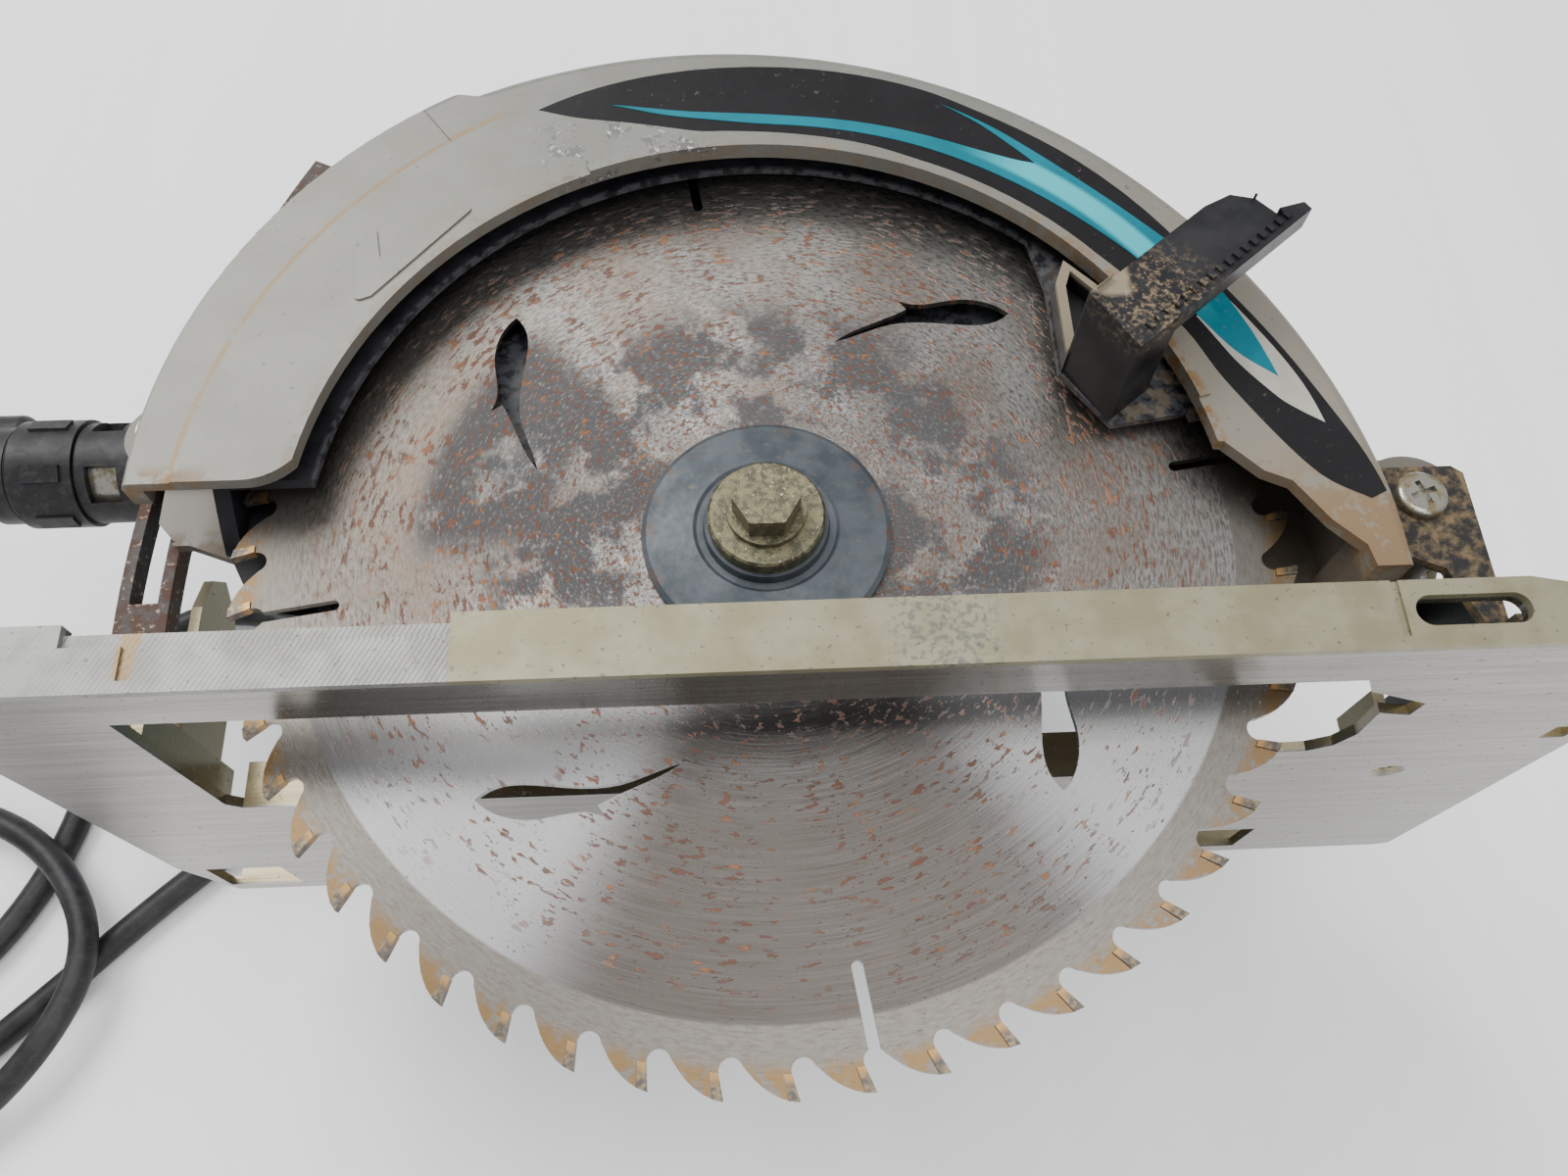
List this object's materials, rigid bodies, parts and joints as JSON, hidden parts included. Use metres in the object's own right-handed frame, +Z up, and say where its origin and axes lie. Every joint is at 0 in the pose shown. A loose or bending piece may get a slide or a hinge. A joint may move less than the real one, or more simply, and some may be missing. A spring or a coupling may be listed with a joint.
{
  "type": "circular saw",
  "caption": "Corded circular saw lying on its motor end: toothed blade, fixed and swinging guards, tilting sole plate, geared motor, loop handle and rubber cord.",
  "frame": {"origin": "middle of the underside of the saw's own box, without its free cord, on the surface that the motor end stands on", "axes": "+Z up along the spindle, from the motor end to the blade bolt; +X to the front of the saw; +Y from the sole to the handles"},
  "size_m": [0.6299, 0.4231, 0.2217],
  "materials": {
    "guard_casting": "worn silver coating over die-cast aluminium",
    "housing_casting": "die-cast",
    "base_metal": "bright milled and brushed, stained",
    "blade_steel": "ground steel, speckled with rust",
    "carbide": "ground carbide",
    "flange_steel": "dark blue-grey oxide",
    "bolt_steel": "olive passivated, worn",
    "machined_steel": "machined",
    "bearing_steel": "polished",
    "laminated_steel": "stacked laminations",
    "copper_winding": "varnished copper wire",
    "commutator_copper": "turned copper bars",
    "brush_carbon": "carbon",
    "brass_fitting": "pressed brass",
    "lower_guard_black": "satin black",
    "lever_black": "black moulding, dusty",
    "bracket_black": "black paint under tan dust",
    "rusty_steel": "dark, rusty",
    "plated_steel": "zinc plated",
    "housing_plastic": "teal moulding",
    "black_plastic": "fine texture",
    "grip_rubber": "soft grip",
    "cord_rubber": "smooth black rubber",
    "plug_black": "moulded"
  },
  "bodies": {
    "saw_frame": {"upper_guard": "guard_casting", "gear_housing": "housing_casting", "motor_housing": "housing_plastic", "motor_end_cover": "housing_plastic", "handle_shell_near": "housing_plastic", "handle_shell_far": "housing_plastic", "front_grip": "grip_rubber", "front_grip_arm": "housing_casting", "field_stator": "laminated_steel", "field_coils": "copper_winding", "spindle_front_bearing": "bearing_steel", "spindle_rear_bearing": "bearing_steel", "bearing_retainer": "machined_steel", "armature_front_bearing": "bearing_steel", "armature_rear_bearing": "bearing_steel", "brush_holders": "brass_fitting", "carbon_brushes": "brush_carbon", "brush_caps": "black_plastic", "trigger_switch": "black_plastic", "guard_retaining_ring": "machined_steel", "guard_return_spring": "machined_steel", "depth_clamp_bolt": "plated_steel", "housing_screws": "plated_steel", "handle_screws": "plated_steel", "cord_socket": "black_plastic", "socket_core": "plated_steel", "coupling_body": "black_plastic", "cord_strain_relief": "cord_rubber", "power_cord": "cord_rubber", "cord_coil": "cord_rubber", "cord_tail": "cord_rubber", "power_plug": "plug_black"},
    "lower_guard_set": {"lower_guard": "lower_guard_black", "guard_lever": "lever_black", "guard_rivets": "machined_steel"},
    "blade_set": {"saw_blade": "blade_steel", "carbide_tips": "carbide", "outer_flange": "flange_steel", "inner_flange": "flange_steel", "arbor_washer": "bolt_steel", "arbor_bolt": "bolt_steel", "spindle": "machined_steel", "driven_gear": "machined_steel"},
    "armature_set": {"armature_shaft": "machined_steel", "armature_core": "laminated_steel", "armature_windings": "copper_winding", "commutator": "commutator_copper", "cooling_fan": "black_plastic"},
    "depth_frame": {"front_pivot_bracket": "bracket_black", "depth_guide": "rusty_steel", "depth_pivot_screw": "plated_steel", "bevel_bolts": "plated_steel"},
    "base_set": {"base_plate": "base_metal", "bevel_quadrant": "plated_steel"},
    "depth_clamp": {"depth_clamp_lever": "black_plastic"},
    "bevel_clamp": {"bevel_clamp_lever": "black_plastic"},
    "trigger_set": {"trigger": "black_plastic"},
    "lock_off_set": {"lock_off_button": "black_plastic"},
    "spindle_lock_set": {"spindle_lock_button": "black_plastic"},
    "collar_set": {"coupling_collar": "black_plastic"}
  },
  "joints": [
    {"name": "blade_spin", "type": "hinge", "parent": "saw_frame", "child": "blade_set", "pos_m": [0.034, -0.03106, 0.185], "axis": [0, 0, 1], "continuous": true},
    {"name": "armature_spin", "type": "hinge", "parent": "saw_frame", "child": "armature_set", "pos_m": [0.028, 0.00292, 0.085], "axis": [0, 0, 1], "continuous": true},
    {"name": "lower_guard_swing", "type": "hinge", "parent": "saw_frame", "child": "lower_guard_set", "pos_m": [0.034, -0.03106, 0.177], "axis": [0, 0, 1], "range_deg": [0, 138]},
    {"name": "depth_tilt", "type": "hinge", "parent": "saw_frame", "child": "depth_frame", "pos_m": [0.1785, -0.03056, 0.185], "axis": [0, 0, 1], "range_deg": [-4, 16]},
    {"name": "bevel_tilt", "type": "hinge", "parent": "depth_frame", "child": "base_set", "pos_m": [0.034, -0.06706, 0.1966], "axis": [-1, 0, 0], "range_deg": [0, 45]},
    {"name": "depth_clamp_turn", "type": "hinge", "parent": "saw_frame", "child": "depth_clamp", "pos_m": [-0.10831, 0.00494, 0.157], "axis": [0, 0, 1], "range_deg": [0, 40]},
    {"name": "bevel_clamp_turn", "type": "hinge", "parent": "depth_frame", "child": "bevel_clamp", "pos_m": [0.202, -0.05506, 0.1566], "axis": [1, 0, 0], "range_deg": [0, 60]},
    {"name": "trigger_pull", "type": "hinge", "parent": "saw_frame", "child": "trigger_set", "pos_m": [-0.02, 0.11394, 0.105], "axis": [0, 0, -1], "range_deg": [0, 7.5], "stiffness_Nm_per_rad": 1.5, "springref_deg": -2.86},
    {"name": "lock_off_press", "type": "slide", "parent": "saw_frame", "child": "lock_off_set", "axis": [0, 0, -1], "range_m": [0, 0.003], "stiffness_N_per_m": 500, "springref_m": -0.002},
    {"name": "spindle_lock_press", "type": "slide", "parent": "saw_frame", "child": "spindle_lock_set", "axis": [-1, 0, 0], "range_m": [0, 0.003], "stiffness_N_per_m": 600, "springref_m": -0.002},
    {"name": "coupling_turn", "type": "hinge", "parent": "saw_frame", "child": "collar_set", "pos_m": [-0.174, 0.03894, 0.105], "axis": [1, 0, 0], "range_deg": [0, 30]}
  ],
  "couplings": [
    {"joint": "armature_spin", "follows": "blade_spin", "ratio": -5}
  ]
}
